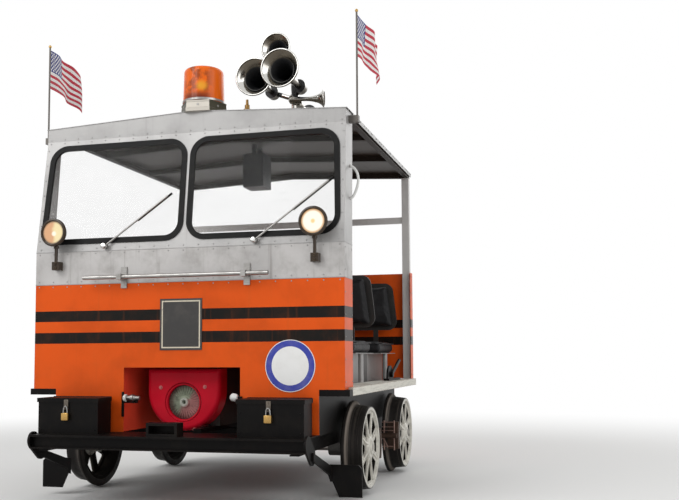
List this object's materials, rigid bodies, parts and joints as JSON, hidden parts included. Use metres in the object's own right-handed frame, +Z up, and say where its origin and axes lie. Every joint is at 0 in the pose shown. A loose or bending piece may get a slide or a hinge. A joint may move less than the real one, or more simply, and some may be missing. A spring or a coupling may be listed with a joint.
{
  "type": "track inspection car",
  "caption": "Small motor-driven track inspection car with an open-sided cab, raked windscreen, front toolboxes, horns, beacon and flags on two spoked wheelsets",
  "frame": {"origin": "on the ground midway between the two bumper faces, on the centre plane, level with the lowest point of the wheel flanges", "axes": "+Z up, -Y towards the front of the car, +X towards its left side"},
  "size_m": [1.642, 2.18, 2.283],
  "materials": {
    "frame_black": "black chassis paint, scuffed and dusty",
    "body_orange": "orange enamel with two black stripes, light weathering",
    "body_silver": "silver-grey painted aluminium sheet, faint streaks",
    "roof_silver": "silver-grey painted roof sheet, dark underside",
    "interior_brown": "dark brown painted inner frames",
    "rubber_black": "black window rubber",
    "window_glass": "clear flat safety glass",
    "wheel_silver": "silver-painted casting, bright worn tread, brown dust",
    "axle_steel": "turned steel, oily",
    "bearing_grey": "greasy dark casting",
    "engine_red": "crimson enamel, semi-gloss",
    "flywheel_grey": "grey cast aluminium",
    "engine_grey": "dark casting",
    "board_cream": "cream-painted timber board, worn top",
    "seat_black": "black vinyl upholstery",
    "chrome": "bright plated",
    "beacon_amber": "translucent amber dome",
    "lamp_glass": "clear pressed lens, lit",
    "bright_steel": "bright bar",
    "handle_white": "white enamel",
    "plate_black": "black plate with a thin cream border, blank",
    "disc_white": "white disc with a blue rim, blank",
    "flag_cloth": "printed light cloth",
    "plastic_black": "black plastic"
  },
  "bodies": {
    "car_frame": {"side_sills": "frame_black", "cross_members": "frame_black", "front_bumper": "frame_black", "rear_bumper": "frame_black", "guard_sweeps": "frame_black", "axle_bearings": "bearing_grey", "brake_rigging": "frame_black", "front_panel": "body_orange", "cowl_panel": "body_silver", "windscreen_frame": "body_silver", "window_rubbers": "rubber_black", "window_glass": "window_glass", "header": "body_silver", "roof_panel": "roof_silver", "roof_bows": "interior_brown", "rear_panel": "body_orange", "rear_frame": "body_silver", "post_handles": "handle_white", "deck_plates": "frame_black", "floor_pan": "frame_black", "footboards": "board_cream", "engine_housing": "body_orange", "seat_bases": "body_silver", "front_cushions": "seat_black", "rear_cushions": "seat_black", "seat_backs": "seat_black", "seat_frames": "bright_steel", "blower_shroud": "engine_red", "engine": "engine_grey", "toolboxes": "frame_black", "spot_lamps": "chrome", "lamp_lenses": "lamp_glass", "wipers": "bright_steel", "grab_bar": "bright_steel", "blank_plate": "plate_black", "blank_disc": "disc_white", "tow_brackets": "frame_black", "beacon_base": "chrome", "beacon_dome": "beacon_amber", "horns": "chrome", "flag_poles": "bright_steel", "flags": "flag_cloth", "ceiling_box": "plastic_black", "brake_lever": "frame_black"},
    "front_wheelset": {"front_axle": "axle_steel", "front_wheels": "wheel_silver"},
    "rear_wheelset": {"rear_axle": "axle_steel", "rear_wheels": "wheel_silver"},
    "engine_flywheel": {"flywheel": "flywheel_grey"},
    "left_toolbox_lid": {"toolbox_lid_left": "frame_black"},
    "right_toolbox_lid": {"toolbox_lid_right": "frame_black"}
  },
  "joints": [
    {"name": "front_axle_turn", "type": "hinge", "parent": "car_frame", "child": "front_wheelset", "pos_m": [0, -0.377, 0.228], "axis": [1, 0, 0], "continuous": true},
    {"name": "rear_axle_turn", "type": "hinge", "parent": "car_frame", "child": "rear_wheelset", "pos_m": [0, 0.537, 0.228], "axis": [1, 0, 0], "continuous": true},
    {"name": "flywheel_turn", "type": "hinge", "parent": "car_frame", "child": "engine_flywheel", "pos_m": [-0.044, -0.74, 0.46], "axis": [0, 1, 0], "continuous": true},
    {"name": "left_lid_hinge", "type": "hinge", "parent": "car_frame", "child": "left_toolbox_lid", "pos_m": [0.4805, -0.8947, 0.4875], "axis": [-1, 0, 0], "range_deg": [0, 85]},
    {"name": "right_lid_hinge", "type": "hinge", "parent": "car_frame", "child": "right_toolbox_lid", "pos_m": [-0.499, -0.8947, 0.4875], "axis": [-1, 0, 0], "range_deg": [0, 85]}
  ]
}
